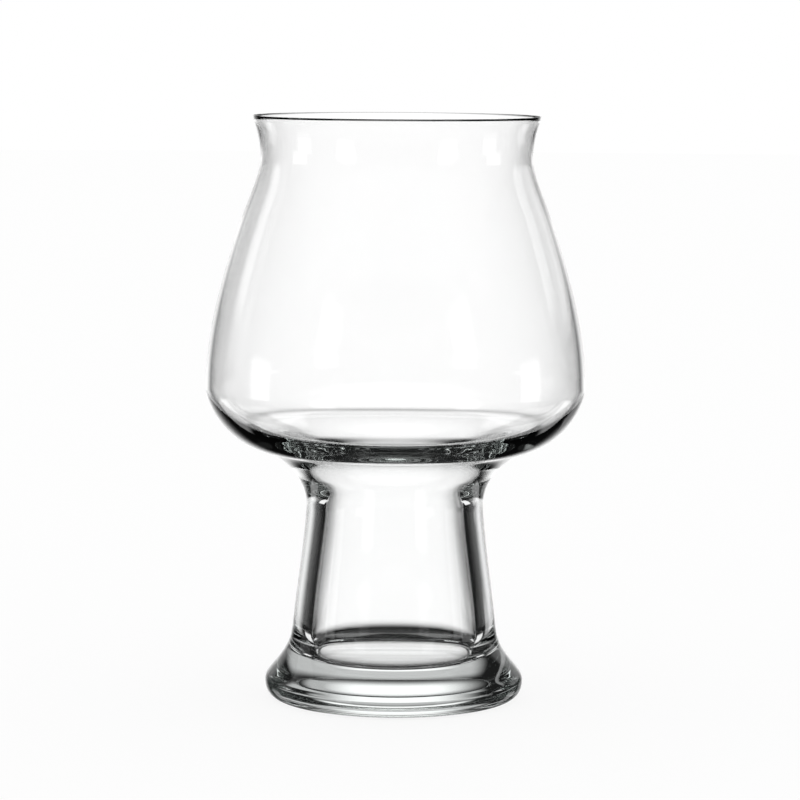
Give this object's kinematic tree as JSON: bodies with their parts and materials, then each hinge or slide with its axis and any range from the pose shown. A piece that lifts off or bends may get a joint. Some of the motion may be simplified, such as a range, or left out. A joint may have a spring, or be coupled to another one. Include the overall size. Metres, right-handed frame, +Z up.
{
  "type": "cider glass",
  "caption": "Footed clear cider glass: thin pear-shaped bowl with a flared lip, open into a thick hollow stem on a heavy rounded foot, for serving cider or beer.",
  "frame": {"origin": "centre of the standing ring, on the table plane", "axes": "+Z up along the turning axis, from the foot to the rim; X and Y are free, because the glass is turned"},
  "size_m": [0.0976, 0.0976, 0.15],
  "materials": {
    "clear_glass": "clear colourless soda-lime glass, fire-polished"
  },
  "bodies": {
    "root": {"bowl": "clear_glass", "stem": "clear_glass", "foot": "clear_glass"}
  },
  "joints": []
}
